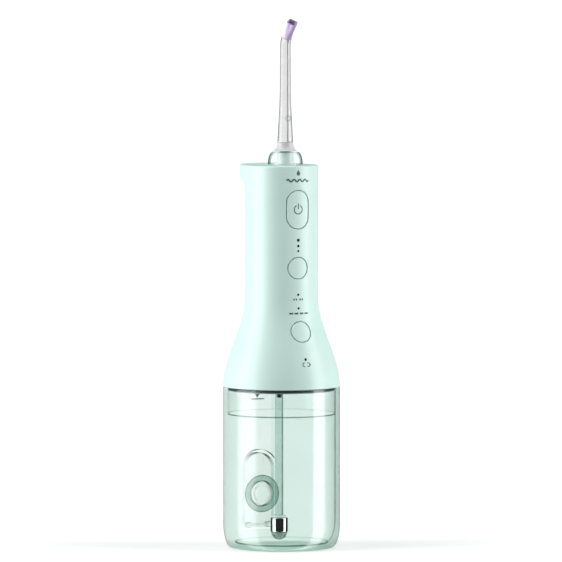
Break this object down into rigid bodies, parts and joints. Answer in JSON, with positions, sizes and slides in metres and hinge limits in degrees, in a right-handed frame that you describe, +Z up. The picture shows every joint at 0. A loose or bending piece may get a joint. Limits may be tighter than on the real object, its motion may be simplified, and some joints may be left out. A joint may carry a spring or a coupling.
{
  "type": "water flosser",
  "caption": "Cordless water flosser: clear tank with a rear fill door, flared handle with push buttons, turning collar, bent jet nozzle and a weighted suction hose.",
  "frame": {"origin": "centre of the tank's flat base, on the surface it stands on", "axes": "+Z up along the tank axis; the buttons and the bent nozzle face -Y; the fill door and the lip of the handle face +Y"},
  "size_m": [0.07, 0.07, 0.3161],
  "materials": {
    "clear_tank": "clear, faint green tint",
    "mint_shell": "satin moulded",
    "collar_green": "clear green",
    "nozzle_clear": "clear",
    "white_plastic": "smooth",
    "tip_purple": "soft, translucent",
    "hose_green": "translucent",
    "soft_clear": "soft",
    "black_rubber": "matte",
    "grey_plastic": "moulded",
    "dark_plastic": "moulded",
    "steel": "polished",
    "motor_can": "plated",
    "brass": "machined",
    "board": "solder mask",
    "cell_wrap": "shrink wrap",
    "lens": "smoked"
  },
  "bodies": {
    "reservoir": {"reservoir_shell": "clear_tank", "door_hinge_pin": "clear_tank"},
    "fill_door": {"fill_door": "clear_tank", "door_plug": "soft_clear"},
    "handle": {"handle_shell": "mint_shell", "handle_base": "grey_plastic", "tank_seal_ring": "black_rubber", "hose_connector": "dark_plastic", "pump_bracket": "grey_plastic", "upper_bracket": "grey_plastic", "gear_shaft": "steel", "motor": "motor_can", "pump_cylinder": "motor_can", "pump_head": "grey_plastic", "inlet_tube": "hose_green", "outlet_tube": "hose_green", "battery_cell": "cell_wrap", "circuit_board": "board", "charging_socket": "motor_can", "nozzle_socket": "grey_plastic", "power_switch": "dark_plastic", "intensity_switch": "dark_plastic", "mode_switch": "dark_plastic", "base_screw_1": "steel", "base_screw_2": "steel", "base_screw_3": "steel", "intensity_lens_1": "lens", "intensity_lens_2": "lens", "intensity_lens_3": "lens", "mode_lens_1": "lens", "mode_lens_2": "lens", "battery_lens": "lens"},
    "power_button": {"power_button": "mint_shell"},
    "intensity_button": {"intensity_button": "mint_shell"},
    "mode_button": {"mode_button": "mint_shell"},
    "port_cover": {"port_cover": "soft_clear"},
    "hose": {"suction_hose": "hose_green", "weight_cap": "white_plastic", "hose_weight": "steel", "hose_strainer": "dark_plastic"},
    "drive_gear": {"drive_gear": "white_plastic"},
    "motor_rotor": {"motor_pinion": "brass"},
    "piston": {"connecting_rod": "grey_plastic", "wrist_pin": "steel", "piston": "grey_plastic", "piston_seal": "black_rubber"},
    "inlet_valve": {"inlet_valve": "soft_clear"},
    "outlet_valve": {"outlet_valve": "soft_clear"},
    "collar": {"nozzle_collar": "collar_green", "collar_hub": "white_plastic"},
    "nozzle": {"nozzle_insert": "white_plastic", "stem_seal": "black_rubber", "nozzle_tube": "nozzle_clear", "nozzle_tip": "tip_purple"}
  },
  "joints": [
    {"name": "handle_lift", "type": "slide", "parent": "reservoir", "child": "handle", "axis": [0, 0, 1], "range_m": [0, 0.11]},
    {"name": "fill_door_hinge", "type": "hinge", "parent": "reservoir", "child": "fill_door", "pos_m": [0, 0.0324, 0.0106], "axis": [-1, 0, 0], "range_deg": [0, 95]},
    {"name": "power_press", "type": "slide", "parent": "handle", "child": "power_button", "axis": [0, 1, 0], "range_m": [0, 0.0008]},
    {"name": "intensity_press", "type": "slide", "parent": "handle", "child": "intensity_button", "axis": [0, 1, 0], "range_m": [0, 0.0008]},
    {"name": "mode_press", "type": "slide", "parent": "handle", "child": "mode_button", "axis": [0, 0.948, -0.3182], "range_m": [0, 0.0008]},
    {"name": "port_cover_hinge", "type": "hinge", "parent": "handle", "child": "port_cover", "pos_m": [0, 0.0219, 0.1568], "axis": [-1, 0, 0], "range_deg": [0, 100]},
    {"name": "hose_swing", "type": "hinge", "parent": "handle", "child": "hose", "pos_m": [0, 0.0032, 0.0949], "axis": [0, 1, 0], "range_deg": [-12, 12]},
    {"name": "gear_spin", "type": "hinge", "parent": "handle", "child": "drive_gear", "pos_m": [-0.015, 0.007, 0.1134], "axis": [0, 0, 1], "continuous": true},
    {"name": "motor_spin", "type": "hinge", "parent": "handle", "child": "motor_rotor", "pos_m": [-0.00171, 0.00294, 0.1134], "axis": [0, 0, 1], "continuous": true},
    {"name": "piston_slide", "type": "slide", "parent": "handle", "child": "piston", "axis": [1, 0, 0], "range_m": [-0.002, 0.002]},
    {"name": "inlet_valve_lift", "type": "slide", "parent": "handle", "child": "inlet_valve", "axis": [0, 0, 1], "range_m": [0, 0.0008]},
    {"name": "outlet_valve_lift", "type": "slide", "parent": "handle", "child": "outlet_valve", "axis": [0, 0, 1], "range_m": [0, 0.0008]},
    {"name": "collar_spin", "type": "hinge", "parent": "handle", "child": "collar", "pos_m": [0, -0.0048, 0.2288], "axis": [0, 0, 1], "continuous": true},
    {"name": "nozzle_pull", "type": "slide", "parent": "collar", "child": "nozzle", "axis": [0, 0, 1], "range_m": [0, 0.024]}
  ],
  "couplings": [
    {"joint": "motor_spin", "follows": "gear_spin", "ratio": -3.6}
  ]
}
